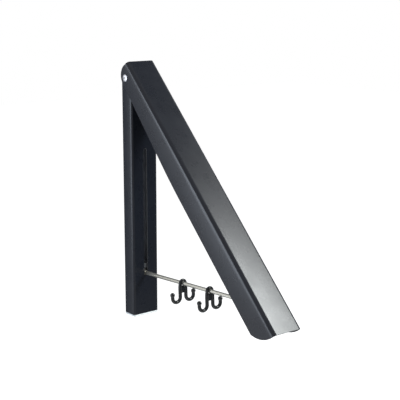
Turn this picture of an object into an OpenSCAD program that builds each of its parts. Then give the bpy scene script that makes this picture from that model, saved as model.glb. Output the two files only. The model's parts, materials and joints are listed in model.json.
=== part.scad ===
// Wall mounted clothes valet, drawn open as it is used.
// The wall is the plane Y = 0 and the valet stands out from it towards -Y, with +Z up.
// The origin is on the wall, half way between the two wall screws.
// Heights in the Base section are measured up from the base's lower edge.

/* [Base] */
// Width of the base channel
base_w = 40.4; // [38:0.2:60]
// Depth of the base channel from the wall
base_d = 21; // [20.6:0.1:24]
// Height of the base channel
base_h = 327; // [325:0.5:329]
// Sheet thickness of the base
base_t = 1.5; // [1:0.1:2]
// Outer radius of the base's two front bends
base_bend_r = 3; // [2.2:0.1:4.5]
// Width of the lips folded in along the back of the base
lip_w = 4; // [3:0.1:5]
// Gap between the wider middle stretch of the lips and the ends of the rod's cross pin
mouth_play = 0.5; // [0.3:0.1:1]
// Gap between that wider stretch and each wall bracket
mouth_gap = 6; // [4:0.5:10]
// Width of the slot in the base's front
slot_w = 6.4; // [6:0.1:7]
// Depth of the slot's top end below the base's upper edge
slot_top_drop = 100; // [92:1:120]
// Gap between the rod and the slot's lower end
slot_seat = 0.5; // [0.2:0.1:2]
// Radius of the access hole in front of the upper wall screw
access_r = 5; // [4:0.1:6]
// Thickness of the bottom cap's plate
cap_t = 2.5; // [1.5:0.1:4]
// How far the bottom cap's plug reaches into the base
cap_plug = 5; // [3:0.1:6]

/* [Wall fixings] */
// Height of the lower wall screw
screw_low = 22; // [20:0.5:24]
// Depth of the upper wall screw below the base's upper edge
screw_top_drop = 45; // [40:0.5:60]
// Radius of the wall screw holes
screw_hole_r = 2.25; // [1.5:0.05:3]
// Height of each wall bracket
bracket_h = 28; // [20:0.5:32]
// Thickness of the upper wall bracket
bracket_t = 2; // [1.5:0.1:3]
// Radius of the dish pressed into the upper wall bracket, which reaches the wall
dish_r = 9; // [7:0.1:11]
// Gap between the upper wall bracket's ends and the base's sides
bracket_side = 1.2; // [0.5:0.1:2.7]
// Thickness of the lower wall bracket
clip_t = 1.8; // [1.2:0.1:2.5]
// Gap between the lower bracket's plate and the base's lips
clip_side = 1.7; // [0.5:0.1:4]

/* [Hinge] */
// Distance of the hinge pin from the wall
pin_d = 9.6; // [9:0.1:10.5]
// Depth of the hinge pin below the base's upper edge
pin_drop = 7; // [6:0.5:9]
// Radius of the hinge rivet
pin_r = 3; // [2:0.1:3.5]
// Radius of the rivet's heads
head_r = 4.5; // [4:0.1:5.5]
// Height of the rivet's heads
head_h = 1.2; // [0.9:0.1:2]
// Radius of the dimple in each head
dimple_r = 1.5; // [0.8:0.1:1.8]
// Depth of the dimple
dimple_d = 1.1; // [0.5:0.1:1.6]
// Wall of the spacer sleeve round the rivet
sleeve_wall = 1.5; // [0.8:0.1:2]
// Radius of the hinge washers
washer_r = 6.5; // [5.5:0.1:6.9]
// Thickness of the hinge washers
washer_t = 0.4; // [0.3:0.05:0.8]

/* [Arm] */
// Sheet thickness of the arm
arm_t = 1.5; // [1:0.1:1.9]
// Outer radius of the arm's two bends
arm_bend_r = 5; // [4:0.1:6]
// Length of the arm below the hinge pin
arm_len = 397; // [385:1:420]
// How far the arm's front wall reaches above the pin, along the arm
arm_top = 12.6; // [11:0.1:13.2]
// Depth of the arm in front of the pin
arm_front = 17.6; // [17:0.1:19]
// Depth of the arm's sides behind the pin's line, low down
arm_back = 17.8; // [17.2:0.1:20]
// Angle of the open arm from the vertical
arm_open = 44.3; // [43:0.1:46]
// Angle of the folded arm from the vertical, which is also the slope of its sides' upper back edges
arm_closed = 3.3; // [3:0.1:3.6]
// Radius of the rounded top of each side
lobe_r = 16; // [15:0.1:16.3]
// Place of that round's centre along the arm below the pin
lobe_s = 2.5; // [1:0.1:4]
// Place of that round's centre in front of the pin
lobe_forward = 7; // [6:0.1:8]
// Distance along the arm where the sloping back edge starts to turn straight
shoulder_s = 130; // [110:1:140]
// Radius of the round at the lower end of each side
end_r = 40; // [37:0.5:50]

/* [Rod] */
// Diameter of the hanging rod
rod_d = 5; // [4:0.1:5.4]
// Height of the rod's wall-end pivot when the valet is open
rod_h = 56; // [54:0.5:60]
// Distance of the wall-end pivot from the wall
rod_in_d = 12; // [11.5:0.1:12.5]
// Rise of the open rod towards its outer end, in degrees, which locks it
rod_rise = 2.9; // [2:0.1:4]
// Place of the outer pivot in front of the hinge pin, across the arm
rod_out_forward = 10.2; // [9.6:0.1:10.4]
// Radius of the rod's flattened ends
eye_r = 4.2; // [3.6:0.1:4.3]
// Thickness of the rod's flattened ends
eye_t = 3.2; // [2.6:0.1:3.8]
// Radius of the pins through the rod's ends
link_pin_r = 2; // [1.5:0.1:2.2]
// Thickness of the spacers on those pins
spacer_t = 1.7; // [1.2:0.1:1.9]
// Radius of those spacers
spacer_r = 3.6; // [3:0.1:4]

/* [Pivot bracket] */
// Thickness of the bracket's sheet
ear_t = 1.2; // [0.8:0.1:1.3]
// Half length of the bracket's plate along the arm
ear_plate_s = 12; // [8:0.5:16]
// Half width of the bracket's plate
ear_plate_x = 10; // [8:0.5:14]
// Radius of the ears' round ends
ear_r = 4.6; // [4:0.1:5.4]
// Radius of the pivot pin's heads
link_head_r = 3.2; // [2.8:0.1:3.8]
// Height of the pivot pin's heads
link_head_h = 1.2; // [0.8:0.1:2]

/* [Slider] */
// Half height of the slider block
slider_half = 13; // [12:0.5:14]
// Half length of the rod's cross pin
trunnion_x = 9.2; // [8:0.1:10]
// Thickness of the slider's bridge, from the front
bridge_d = 5.6; // [4:0.1:5.6]
// Height of the bridge's underside above the pivot
bridge_z = 7.5; // [7.5:0.1:9]
// Height of the slide tracks' lower end
track_low = 40; // [38:0.5:42]
// Gap between the slide tracks and the upper wall bracket
track_gap = 28; // [20:1:40]
// Thickness of the slide tracks
track_t = 3; // [2.8:0.1:3.2]
// Depth of the groove in each track
groove_d = 1.6; // [1.2:0.1:1.8]
// Width of the groove in each track
groove_w = 8; // [6:0.1:9]

/* [Hooks] */
// Distance of the inner hook from the rod's wall-end pivot
hook_near = 90; // [60:1:100]
// Distance of the outer hook from the same pivot
hook_far = 145; // [130:1:170]
// Diameter of a hook's bars
bar_d = 4.6; // [3.6:0.1:4.7]
// Diameter of the bar where it passes over the rod
arch_d = 3.4; // [2.8:0.1:3.5]
// Play round the rod at each side of a hook's eye
eye_play = 0.35; // [0.25:0.05:0.5]
// Radius of each J along the middle of its bar
j_r = 6.2; // [5.8:0.1:6.4]
// Depth of the J's lowest bar middle under the rod's middle
j_drop = 23.7; // [22:0.1:26]
// Depth of the tips under the rod's middle
tip_drop = 13.1; // [12:0.1:15]
// Radius of the balls on the tips
ball_r = 3; // [2.4:0.1:3.1]
// Thickness of the web that joins the two shanks
web_t = 2.8; // [2:0.1:3.4]
// Depth of the web's lower end under the rod's middle
web_low = 12.3; // [11:0.1:14]

/* [Hidden] */
$fn = 64;

// How far a cut runs past the face it opens
cut = 1;
// Radial clearance of a pin in a hole that turns on it
running = 0.06;
// Side clearance between faces that slide past each other
play = 0.05;
// Clearance of the moving slider in its tracks
slide_play = 0.2;
// Clearance of a part that is fitted into the base and stays there
seat = 0.1;
// Width of the gap left beside the rod's flattened end and its spacers
link_play = 0.1;
// How far the shank's cut-out for the hanging eye reaches below the rod
eye_drop = 2.3;
// How far inside the arm's top round its sloping back edge starts, so that the two cross cleanly
lobe_inset = 0.1;
// Steps of the curve where the arm's back edge turns straight
blend_steps = 6;

screw_gap = base_h - screw_low - screw_top_drop;
base_low = -(screw_low + screw_gap / 2);
base_top = base_low + base_h;
pin_z = base_top - pin_drop;
rod_z = base_low + rod_h;
base_in_x = base_w / 2 - base_t;
base_in_d = base_d - base_t;

arm_in_x = base_w / 2 + washer_t + 2 * play;
arm_x = arm_in_x + arm_t;
arm_in_n = arm_front - arm_t;
lobe_back_n = lobe_forward - (lobe_r - lobe_inset) * cos(arm_closed);
lobe_back_s = lobe_s - (lobe_r - lobe_inset) * sin(arm_closed);
shoulder_n = lobe_back_n - (shoulder_s - lobe_back_s) * tan(arm_closed);
blend_r = (arm_back + shoulder_n) / (1 - cos(arm_closed));
blend_end_s = shoulder_s + blend_r * sin(arm_closed);
end_s = arm_len - end_r;

// The rod's length follows from where its line meets the outer pivot's line in the arm
rod_len = (rod_out_forward - (rod_in_d - pin_d) * cos(arm_open) - (rod_z - pin_z) * sin(arm_open))
    / cos(arm_open - rod_rise);
rod_out_y = -rod_in_d - rod_len * cos(rod_rise);
rod_out_z = rod_z + rod_len * sin(rod_rise);
rod_out_s = (-rod_out_y - pin_d) * sin(arm_open) - (rod_out_z - pin_z) * cos(arm_open);

// The rod is lowest where it crosses the base's front, and the slot ends just under it
slot_low_z = rod_z + (base_in_d - rod_in_d) * tan(rod_rise) - rod_d / 2 / cos(rod_rise) - slot_seat;

link_x = eye_t / 2 + link_play + spacer_t;
ear_x = link_x + link_play;
slider_gap_x = link_x + 2 * link_play;
track_x = base_in_x - track_t;
track_z0 = base_low + track_low;
track_z1 = screw_gap / 2 - bracket_h / 2 - track_gap;
slider_x = track_x - 2 * slide_play;
wing_x = track_x + groove_d - slide_play;
slider_back_d = base_t + 2 * slide_play;
slider_front_d = base_in_d - 2 * slide_play;
track_mid_d = (base_t + base_in_d) / 2;
bracket_half = base_in_x - bracket_side;
mouth_x = trunnion_x + mouth_play;
mouth_z = screw_gap / 2 - bracket_h / 2 - mouth_gap;
clip_half = base_in_x - lip_w - clip_side;
// Directions, up from straight back, between which the rod's cross pin leaves its seat
seat_low_angle = 5;
seat_high_angle = 55;

arch_r = rod_d / 2 + eye_play + arch_d / 2;
hang = eye_play - play;
tip_x = arch_r + 2 * j_r;
j_z = -(j_drop - j_r);

dark = "#34373b";
steel = "#c9ccce";
nylon = "#e9e9e4";
bare = "#9a9ea2";

// Places its children in the arm, drawn hanging straight down from the hinge pin
module in_arm() {
    translate([0, -pin_d, pin_z]) rotate([-arm_open, 0, 0]) children();
}

// Places its children on the rod, drawn lying along -Y from its wall-end pivot
module on_rod(along = 0) {
    translate([0, -rod_in_d, rod_z]) rotate([-rod_rise, 0, 0]) translate([0, -along, 0]) children();
}

// Cylinder along X, centred
module bar_x(r, half) {
    rotate([0, 90, 0]) cylinder(r = r, h = 2 * half, center = true);
}

// Two like pieces, one on each side
module both_sides() {
    children();
    mirror([1, 0, 0]) children();
}

// Channel section seen along its length, open at the back, with its back at y = 0 and front at y = -d
module channel_outer(half, d, r) {
    translate([-half, -(d - r)]) square([2 * half, d - r]);
    translate([-(half - r), -d]) square([2 * (half - r), d]);
    for (side = [-1, 1]) translate([side * (half - r), -(d - r)]) circle(r);
}

// Box from the half width, the near and far distance from the wall, and two heights
module wall_box(half, d0, d1, z0, z1) {
    translate([-half, -d1, z0]) cube([2 * half, d1 - d0, z1 - z0]);
}

// Round bar or hole square to the wall
module bar_y(r, d0, d1, z) {
    translate([0, -d0, z]) rotate([90, 0, 0]) cylinder(r = r, h = d1 - d0);
}

module base_shell() color(dark) difference() {
    union() {
        translate([0, 0, base_low]) linear_extrude(height = base_h) difference() {
            channel_outer(base_w / 2, base_d, base_bend_r);
            translate([0, cut]) channel_outer(base_in_x, base_in_d + cut, base_bend_r - base_t);
        }
        both_sides() translate([base_w / 2 - base_t - lip_w, -base_t, base_low])
            cube([lip_w + base_t / 2, base_t, base_h - base_t / 2]);
        both_sides() translate([mouth_x, -base_t, -mouth_z])
            cube([base_w / 2 - base_t / 2 - mouth_x, base_t, 2 * mouth_z]);
        translate([0, 0, base_top - base_t]) linear_extrude(height = base_t)
            channel_outer(base_w / 2, base_d, base_bend_r);
    }
    translate([-slot_w / 2, -base_d - cut, slot_low_z + slot_w / 2])
        cube([slot_w, base_t + 2 * cut, base_top - slot_top_drop - slot_low_z - slot_w]);
    for (z = [slot_low_z + slot_w / 2, base_top - slot_top_drop - slot_w / 2])
        bar_y(slot_w / 2, base_in_d - cut, base_d + cut, z);
    bar_y(access_r, base_in_d - cut, base_d + cut, screw_gap / 2);
    translate([0, -pin_d, pin_z]) bar_x(pin_r + running, base_w / 2 + cut);
}

module bottom_cap() color(nylon) {
    translate([0, 0, base_low - cap_t]) linear_extrude(height = cap_t)
        channel_outer(base_w / 2, base_d, base_bend_r);
    wall_box(base_in_x - lip_w - seat, seat, base_t + seat, base_low, base_low + cap_plug);
    wall_box(base_in_x - seat, base_t + seat, base_in_d - base_bend_r, base_low, base_low + cap_plug);
    wall_box(base_in_x - base_bend_r, base_t + seat, base_in_d - seat, base_low, base_low + cap_plug);
}

// Plate welded to the base's lips, with a dish round the screw hole that reaches back to the wall
module upper_wall_bracket() color(bare) {
    mid_z = screw_gap / 2;
    difference() {
        union() {
            wall_box(bracket_half, base_t, base_t + bracket_t, mid_z - bracket_h / 2, mid_z + bracket_h / 2);
            bar_y(dish_r, 0, base_t + bracket_t, mid_z);
        }
        bar_y(dish_r - bracket_t, bracket_t, base_t + bracket_t + cut, mid_z);
        bar_y(screw_hole_r, -cut, bracket_t + cut, mid_z);
    }
}

// The base's lips slide down behind this bracket's two ears
module lower_wall_bracket() color(bare) {
    mid_z = -screw_gap / 2;
    ear_low = mid_z - bracket_h / 2;
    ear_top = mid_z + bracket_h / 2;
    difference() {
        union() {
            wall_box(clip_half, 0, clip_t, ear_low, ear_top);
            both_sides() translate([clip_half - clip_t, -base_t - seat - clip_t, ear_low])
                cube([clip_t, base_t + seat + clip_t, bracket_h]);
            both_sides() translate([clip_half - clip_t, -base_t - seat - clip_t, ear_low])
                cube([bracket_half - clip_half + clip_t, clip_t, bracket_h]);
        }
        bar_y(screw_hole_r, -cut, clip_t + cut, mid_z);
    }
}

// Dark nylon strip down one side of the base, with the groove that the slider's wing runs in
module track() color(dark) difference() {
    translate([track_x, -base_in_d + seat, track_z0])
        cube([track_t, base_in_d - base_t - 2 * seat, track_z1 - track_z0]);
    translate([track_x - cut, -track_mid_d - groove_w / 2, track_z0 - cut])
        cube([groove_d + cut, groove_w, track_z1 - track_z0 + 2 * cut]);
    // The strip's front corner clears the inside of the base's bend
    translate([base_in_x, -base_in_d, track_z0 - cut]) rotate([0, 0, 45])
        cube([2 * base_t, 2 * base_t, 2 * (track_z1 - track_z0 + 2 * cut)], center = true);
}

module track_right() track();
module track_left() mirror([1, 0, 0]) track();

// Rivet with a low domed head at each end
module rivet_half_profile() {
    dome_r = (head_r * head_r + head_h * head_h) / (2 * head_h);
    square([pin_r, arm_x + play]);
    translate([0, arm_x + play]) difference() {
        intersection() {
            translate([0, head_h - dome_r]) circle(dome_r);
            square([head_r, head_h]);
        }
        translate([0, head_h - dimple_d]) square([dimple_r, dimple_d + cut]);
    }
}

module hinge_rivet() color(steel) translate([0, -pin_d, pin_z]) rotate([0, 90, 0]) rotate_extrude() {
    rivet_half_profile();
    mirror([0, 1]) rivet_half_profile();
}

module hinge_sleeve() color(bare) translate([0, -pin_d, pin_z]) difference() {
    bar_x(pin_r + running + sleeve_wall, base_in_x - play);
    bar_x(pin_r + running, base_in_x + cut);
}

module washer() color(nylon) translate([base_w / 2 + play, -pin_d, pin_z]) rotate([0, 90, 0])
    difference() {
        cylinder(r = washer_r, h = washer_t);
        translate([0, 0, -cut]) cylinder(r = pin_r + running, h = washer_t + 2 * cut);
    }

module washer_right() washer();
module washer_left() mirror([1, 0, 0]) washer();

// The arm's sides seen from the side, as [y, z] with the pin at the origin: the round at the top,
// the long middle and the round at the lower end
module arm_lobe() intersection() {
    translate([-lobe_forward, -lobe_s]) circle(lobe_r);
    translate([-arm_front, -lobe_r]) square([2 * lobe_r + arm_front, 2 * lobe_r]);
}

module arm_middle() {
    blend = [for (i = [0 : blend_steps]) let (a = arm_closed * (1 - i / blend_steps))
        [arm_back - blend_r * (1 - cos(a)), -(blend_end_s - blend_r * sin(a))]];
    polygon(concat(
        [[-arm_front, arm_top], [-lobe_forward, arm_top], [-lobe_forward, -lobe_s],
            [-lobe_back_n, -lobe_back_s]],
        blend,
        [[arm_back, -end_s], [-arm_front, -end_s]]));
}

module arm_end() intersection() {
    translate([-arm_front, -end_s]) circle(end_r, $fn = 128);
    translate([-arm_front, -arm_len - cut]) square([arm_front + arm_back, end_r + arm_bend_r + cut]);
}

module across_arm() rotate([90, 0, 90]) linear_extrude(height = 2 * arm_x, center = true) children();

module arm_shell() color(dark) in_arm() difference() {
    intersection() {
        union() {
            across_arm() arm_lobe();
            across_arm() arm_middle();
            across_arm() arm_end();
        }
        translate([0, 0, -arm_len - cut]) linear_extrude(height = arm_len + lobe_r + 2 * cut)
            difference() {
                translate([0, lobe_r + arm_back]) channel_outer(arm_x, arm_front + lobe_r + arm_back,
                    arm_bend_r);
                translate([0, lobe_r + arm_back + cut])
                    channel_outer(arm_in_x, arm_in_n + lobe_r + arm_back + cut, arm_bend_r - arm_t);
            }
    }
    bar_x(pin_r + running, arm_x + cut);
}

// Bracket inside the arm's front wall, with two ears for the rod's outer pivot
module pivot_bracket() color(bare) in_arm() translate([0, 0, -rod_out_s]) difference() {
    union() {
        translate([-ear_plate_x, -arm_in_n, -ear_plate_s]) cube([2 * ear_plate_x, ear_t, 2 * ear_plate_s]);
        both_sides() translate([ear_x, -rod_out_forward, 0]) rotate([0, 90, 0])
            cylinder(r = ear_r, h = ear_t);
        both_sides() translate([ear_x, -arm_in_n, -ear_r])
            cube([ear_t, arm_in_n - rod_out_forward, 2 * ear_r]);
    }
    translate([0, -rod_out_forward, 0]) bar_x(link_pin_r + running, ear_x + ear_t + cut);
}

module rod_pivot_pin() color(steel) in_arm() translate([0, -rod_out_forward, -rod_out_s]) {
    bar_x(link_pin_r, ear_x + ear_t + play);
    both_sides() translate([ear_x + ear_t + play, 0, 0])
        rotate([0, 90, 0]) cylinder(r = link_head_r, h = link_head_h);
}

// Two washers that centre a flattened rod end between its cheeks
module spacer_pair() both_sides() translate([eye_t / 2 + link_play / 2, 0, 0]) rotate([0, 90, 0])
    difference() {
        cylinder(r = spacer_r, h = spacer_t);
        translate([0, 0, -cut]) cylinder(r = link_pin_r + running, h = spacer_t + 2 * cut);
    }

module pivot_spacers() color(nylon) in_arm() translate([0, -rod_out_forward, -rod_out_s]) spacer_pair();
module trunnion_spacers() color(nylon) on_rod() spacer_pair();

// Round rod with a flattened, drilled eye at each end
module hanger_rod() color(steel) on_rod() difference() {
    union() {
        for (along = [0, rod_len]) translate([0, -along, 0]) bar_x(eye_r, eye_t / 2);
        translate([0, -eye_r, 0]) rotate([90, 0, 0]) cylinder(d = rod_d, h = rod_len - 2 * eye_r);
        translate([-eye_t / 2, -2 * eye_r, -rod_d / 2]) cube([eye_t, 2 * eye_r, rod_d]);
        translate([-eye_t / 2, -rod_len, -rod_d / 2]) cube([eye_t, 2 * eye_r, rod_d]);
    }
    for (along = [0, rod_len]) translate([0, -along, 0]) bar_x(link_pin_r + running, eye_t);
}

module trunnion_pin() color(bare) on_rod() bar_x(link_pin_r, trunnion_x);

// Wedge in the slider, seen from the side, through which the cross pin drops into its seat
module seat_outline() {
    reach = 2 * base_d;
    r = link_pin_r + running;
    circle(r);
    polygon([
        [r * sin(seat_low_angle), -r * cos(seat_low_angle)],
        [r * sin(seat_low_angle) + reach * cos(seat_low_angle),
            -r * cos(seat_low_angle) + reach * sin(seat_low_angle)],
        [-r * sin(seat_high_angle) + reach * cos(seat_high_angle),
            r * cos(seat_high_angle) + reach * sin(seat_high_angle)],
        [-r * sin(seat_high_angle), r * cos(seat_high_angle)]
    ]);
}

module slider_block() color(dark) difference() {
    union() {
        wall_box(slider_x, slider_back_d, slider_front_d, rod_z - slider_half, rod_z + slider_half);
        wall_box(wing_x, track_mid_d - groove_w / 2 + slide_play, track_mid_d + groove_w / 2 - slide_play,
            rod_z - slider_half, rod_z + slider_half);
    }
    wall_box(slider_gap_x, slider_back_d - cut, slider_front_d + cut, rod_z - slider_half - cut,
        rod_z + bridge_z);
    wall_box(slider_gap_x, slider_back_d - cut, slider_front_d - bridge_d, rod_z - slider_half - cut,
        rod_z + slider_half + cut);
    translate([0, -rod_in_d, rod_z]) rotate([90, 0, 90])
        linear_extrude(height = 2 * (trunnion_x + slide_play), center = true) seat_outline();
}

// Half of the hook: shank, J and ball tip on the +X side
module hook_half() {
    translate([arch_r, 0, j_z]) cylinder(d1 = bar_d, d2 = arch_d, h = -hang - j_z);
    translate([arch_r + j_r, 0, j_z]) rotate([-90, 0, 0]) rotate_extrude(angle = 180)
        translate([j_r, 0]) circle(d = bar_d, $fn = 32);
    translate([tip_x, 0, j_z]) cylinder(d = bar_d, h = -tip_drop - j_z);
    translate([tip_x, 0, -tip_drop]) sphere(ball_r);
}

// Web that joins the shanks under the rod, hollowed to the shape of the eye
module hook_web() difference() {
    translate([-arch_r, -web_t / 2, -web_low]) cube([2 * arch_r, web_t, web_low - eye_drop]);
    translate([0, 0, -eye_drop]) rotate([90, 0, 0])
        cylinder(r = rod_d / 2 + eye_play, h = web_t + 2 * cut, center = true);
}

module hook() color(dark) {
    translate([0, 0, -hang]) rotate([90, 0, 0]) rotate_extrude(angle = 180)
        translate([arch_r, 0]) circle(d = arch_d, $fn = 32);
    both_sides() hook_half();
    hook_web();
}

module hook_inner() on_rod(hook_near) hook();
module hook_outer() on_rod(hook_far) hook();

base_shell();
bottom_cap();
upper_wall_bracket();
lower_wall_bracket();
track_left();
track_right();
hinge_rivet();
hinge_sleeve();
washer_left();
washer_right();
arm_shell();
pivot_bracket();
rod_pivot_pin();
pivot_spacers();
hanger_rod();
trunnion_pin();
trunnion_spacers();
slider_block();
hook_inner();
hook_outer();
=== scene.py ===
"""Looks of a folding wall mounted clothes valet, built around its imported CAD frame. All lengths are in metres.

The wall is the plane Y = 0, the valet stands out towards -Y and +Z is up. It is drawn open, as it is used.
"""

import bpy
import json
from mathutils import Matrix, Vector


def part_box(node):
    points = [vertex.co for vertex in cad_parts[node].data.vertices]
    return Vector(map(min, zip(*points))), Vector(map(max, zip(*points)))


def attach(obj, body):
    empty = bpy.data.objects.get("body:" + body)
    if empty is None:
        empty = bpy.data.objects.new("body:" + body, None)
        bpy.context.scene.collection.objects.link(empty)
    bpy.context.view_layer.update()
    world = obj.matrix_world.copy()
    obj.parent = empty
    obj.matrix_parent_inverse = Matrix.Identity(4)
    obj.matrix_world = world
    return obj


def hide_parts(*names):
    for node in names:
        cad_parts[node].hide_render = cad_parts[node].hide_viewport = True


bl_info = {
    "name": "Wall Clothes Valet",
    "version": (1, 0, 0),
    "blender": (4, 5, 0),
    "location": "View3D > Sidebar > Valet",
    "description": "Powder coated channels, chrome rod and cast double hooks of a folding wall valet",
    "category": "Add Mesh",
}

import json
import math

import bmesh
import bpy
from bpy.props import FloatProperty, FloatVectorProperty, IntProperty, PointerProperty
from mathutils import Matrix, Vector

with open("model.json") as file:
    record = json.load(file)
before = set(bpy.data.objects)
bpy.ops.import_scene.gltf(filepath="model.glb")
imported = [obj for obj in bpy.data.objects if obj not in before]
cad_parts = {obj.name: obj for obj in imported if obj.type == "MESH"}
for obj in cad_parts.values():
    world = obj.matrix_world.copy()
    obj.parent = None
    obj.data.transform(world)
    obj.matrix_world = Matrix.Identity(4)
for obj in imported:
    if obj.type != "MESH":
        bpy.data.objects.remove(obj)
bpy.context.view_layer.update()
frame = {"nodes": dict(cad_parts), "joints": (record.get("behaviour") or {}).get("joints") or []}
JOINTS = {joint["name"]: joint for joint in frame["joints"]}

MM = 0.001
OVERRUN = 1.0 * MM
# Steps of the bends, the eased sides, the rivet's domes and the hooks' shanks
ROUND_STEPS, EASE_STEPS, DOME_STEPS, SHANK_STEPS = 14, 10, 16, 10
# Lean of an eased side where it meets its bend, in degrees
EASE_LEAN = 6.0
# Share of the coat's reflection that the base has
BASE_SHEEN = 0.85
THIN_COAT_ROUGHNESS = 0.5

BASE_LOW, BASE_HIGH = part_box("base_shell")
ARM_LOW, ARM_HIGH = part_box("arm_shell")
PIN = Vector(JOINTS["arm_fold"]["pos_m"])
ROD_OUTER = Vector(JOINTS["rod_fold"]["pos_m"])
ROD_INNER = sum(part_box("trunnion_pin"), Vector()) / 2
ROD_LENGTH = (ROD_OUTER - ROD_INNER).length
ROD_RISE = math.asin((ROD_OUTER.z - ROD_INNER.z) / ROD_LENGTH)
SCREW_HEIGHT = sum(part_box("upper_wall_bracket"), Vector()).z / 2
ARM_OPEN = math.radians(44.3)
ARM_CLOSED = ARM_OPEN - math.radians(JOINTS["arm_fold"]["range_deg"][1])

# Where the flags and most lamps aim, what the camera is set round, and its shift to the right and upwards from there
MIDDLE = Vector((0, -0.15, 0.0))
LOOK_AT = Vector((0, -0.060, 0.018))
CAMERA_SHIFT = (0.04865, -0.00625)
LAMP_AWAY = 1.6
CARD_THICKNESS = 0.008
FLOOR_THICKNESS = 0.02


# Meshes

def linked(name, mesh):
    """New object for a mesh, linked to the scene."""
    piece = bpy.data.objects.new(name, mesh)
    bpy.context.scene.collection.objects.link(piece)
    return piece


def mesh_from(name, bm):
    """Object made of a bmesh whose faces are turned outwards."""
    bmesh.ops.recalc_face_normals(bm, faces=bm.faces)
    mesh = bpy.data.meshes.new(name)
    bm.to_mesh(mesh)
    bm.free()
    return linked(name, mesh)


def prism(name, outline, axis, low, high):
    """Closed outline extruded along an axis; its points are the other two coordinates in X, Y, Z order."""
    bm = bmesh.new()
    rings = []
    for level in (low, high):
        ring = []
        for a, b in outline:
            place = [a, b]
            place.insert("XYZ".index(axis), level)
            ring.append(bm.verts.new(place))
        rings.append(ring)
        bm.faces.new(ring)
    for i in range(len(outline)):
        j = (i + 1) % len(outline)
        bm.faces.new((rings[0][i], rings[0][j], rings[1][j], rings[1][i]))
    return mesh_from(name, bm)


def oblong(low, high):
    """Outline between two corners."""
    return [low, (high[0], low[1]), high, (low[0], high[1])]


def centred(wide, tall):
    """Oblong outline round the origin."""
    return oblong((-wide / 2, -tall / 2), (wide / 2, tall / 2))


def arc(centre, radius, start, end, steps=ROUND_STEPS):
    """Points on an arc, both ends included; the angles are in degrees."""
    angles = [math.radians(start + (end - start) * i / steps) for i in range(steps + 1)]
    return [(centre[0] + radius * math.cos(a), centre[1] + radius * math.sin(a)) for a in angles]


def disc(centre, radius, steps=64):
    """Closed round outline."""
    return arc(centre, radius, 0, 360, steps)[:-1]


def channel(half, front, back, radius, ease=0.0):
    """Outline of a channel: two rounded corners at the front, square corners at the back.

    Over the length of ease each side already leans in a little before its bend, as pressed sheet does.
    """
    turns = [EASE_LEAN * (i / EASE_STEPS) ** 2 for i in range(EASE_STEPS + 1)] if ease else [0.0]
    corner = arc((0, 0), radius, 180 + turns[-1], 270)
    side, x, y = [], 0.0, 0.0
    for one, two in zip(turns, turns[1:]):
        step, mean = ease / EASE_STEPS, math.radians((one + two) / 2)
        x, y = x + step * math.sin(mean), y - step * math.cos(mean)
        side.append((x, y))
    start = front + radius * (1 - math.sin(math.radians(turns[-1])))
    left = [(-half, back), (-half, start - y)] if ease else [(-half, back)]
    left += [(-half + dx, start - y + dy) for dx, dy in side[:-1]]
    shift = (-half + x - corner[0][0], start - corner[0][1])
    left += [(a + shift[0], b + shift[1]) for a, b in corner]
    return left + [(-a, b) for a, b in reversed(left)]


def final_mesh(piece):
    """New plain mesh of a piece as its modifiers leave it."""
    bpy.context.view_layer.update()
    return bpy.data.meshes.new_from_object(piece.evaluated_get(bpy.context.evaluated_depsgraph_get()))


def bake(piece):
    """Turns a piece and its modifiers into one plain mesh."""
    result = final_mesh(piece)
    piece.modifiers.clear()
    piece.data = result


def cut(piece, tools, operation="DIFFERENCE"):
    """Cuts, joins or intersects a piece with tools, which are then removed."""
    for tool in tools:
        step = piece.modifiers.new("Cut", "BOOLEAN")
        step.operation, step.solver, step.object = operation, "EXACT", tool
        bake(piece)
        bpy.data.objects.remove(tool)


def join(piece, other):
    """Adds another closed shell to a piece that is cast as one later."""
    bm = bmesh.new()
    bm.from_mesh(piece.data)
    bm.from_mesh(other.data)
    bm.to_mesh(piece.data)
    bm.free()
    bpy.data.objects.remove(other)


def soften(piece, width, angle=35.0, below=None):
    """Rounds a piece's sharp edges, or all its edges below a height, and shades it smoothly between them."""
    piece.data.shade_smooth()
    bevel = piece.modifiers.new("Rounded edges", "BEVEL")
    bevel.width, bevel.segments = width, 3
    bevel.limit_method, bevel.angle_limit = "ANGLE", math.radians(angle)
    if below is not None:
        bevel.limit_method = "WEIGHT"
        weights = piece.data.attributes.new("bevel_weight_edge", "FLOAT", "EDGE")
        for edge in piece.data.edges:
            top = max(piece.data.vertices[i].co.z for i in edge.vertices)
            weights.data[edge.index].value = float(top < below)
    bevel.use_clamp_overlap = True
    normals = piece.modifiers.new("Face normals", "WEIGHTED_NORMAL")
    normals.mode, normals.weight = "FACE_AREA", 100
    bake(piece)


def merged_copy(name, node):
    """Copy of a CAD node's mesh with its loose triangles joined and its flat faces made whole."""
    bm = bmesh.new()
    bm.from_mesh(frame["nodes"][node].data)
    bmesh.ops.remove_doubles(bm, verts=bm.verts, dist=0.002 * MM)
    bmesh.ops.dissolve_limit(bm, angle_limit=math.radians(0.3), verts=bm.verts, edges=bm.edges)
    mesh = bpy.data.meshes.new(name)
    bm.to_mesh(mesh)
    bm.free()
    for old in [a for a in mesh.attributes if a.name in ("custom_normal", "sharp_face", "sharp_edge")]:
        mesh.attributes.remove(old)
    mesh.materials.clear()
    return linked(name, mesh)


def lathe(name, profile, steps=64):
    """Solid of revolution round X from (x, radius) points; the first and last radius are 0."""
    bm = bmesh.new()
    rings = []
    for x, radius in profile:
        if radius == 0:
            rings.append([bm.verts.new((x, 0, 0))])
        else:
            rings.append([bm.verts.new((x, radius * math.cos(t), radius * math.sin(t)))
                          for t in (2 * math.pi * i / steps for i in range(steps))])
    for one, two in zip(rings, rings[1:]):
        for i in range(steps):
            j = (i + 1) % steps
            corners = [one[i % len(one)], one[j % len(one)], two[j % len(two)], two[i % len(two)]]
            bm.faces.new(list(dict.fromkeys(corners)))
    return mesh_from(name, bm)


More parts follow.
